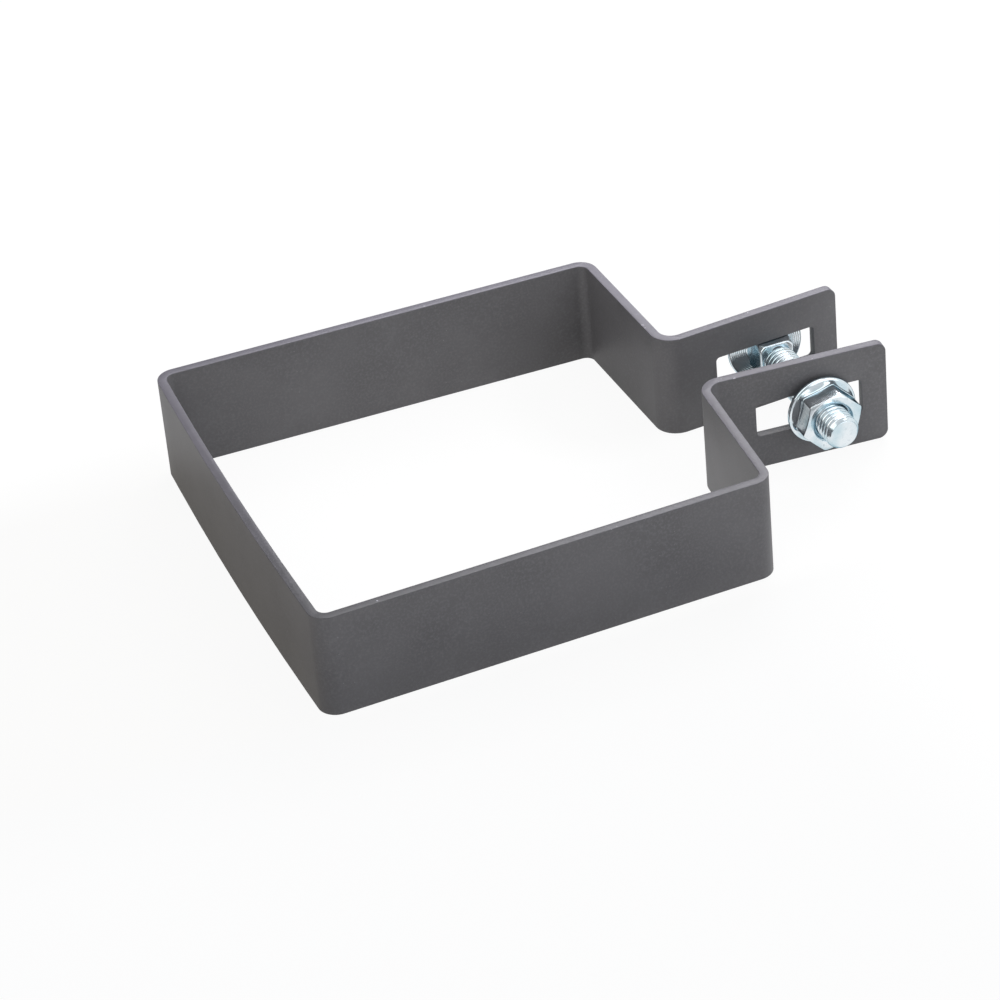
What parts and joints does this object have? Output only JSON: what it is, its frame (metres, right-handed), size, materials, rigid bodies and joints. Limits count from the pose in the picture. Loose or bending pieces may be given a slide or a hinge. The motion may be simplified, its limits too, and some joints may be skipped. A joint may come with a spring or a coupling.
{
  "type": "fence end clamp",
  "caption": "Square strap clamp for a fence post, bent from flat strip, with two slotted tabs drawn together by a carriage bolt and a flange nut.",
  "frame": {"origin": "centre of the post opening, on the plane of the strip's lower edges", "axes": "+X from the post towards the two tabs, +Y along the bolt towards its head, +Z along the post and the width of the strip"},
  "size_m": [0.1503, 0.1062, 0.025],
  "materials": {
    "powder_coat": "matt anthracite powder coat with a fine texture",
    "zinc": "bright zinc plating with a faint blue passivation"
  },
  "bodies": {
    "root": {"strap": "powder_coat", "carriage_bolt": "zinc", "flange_nut": "zinc"}
  },
  "joints": []
}
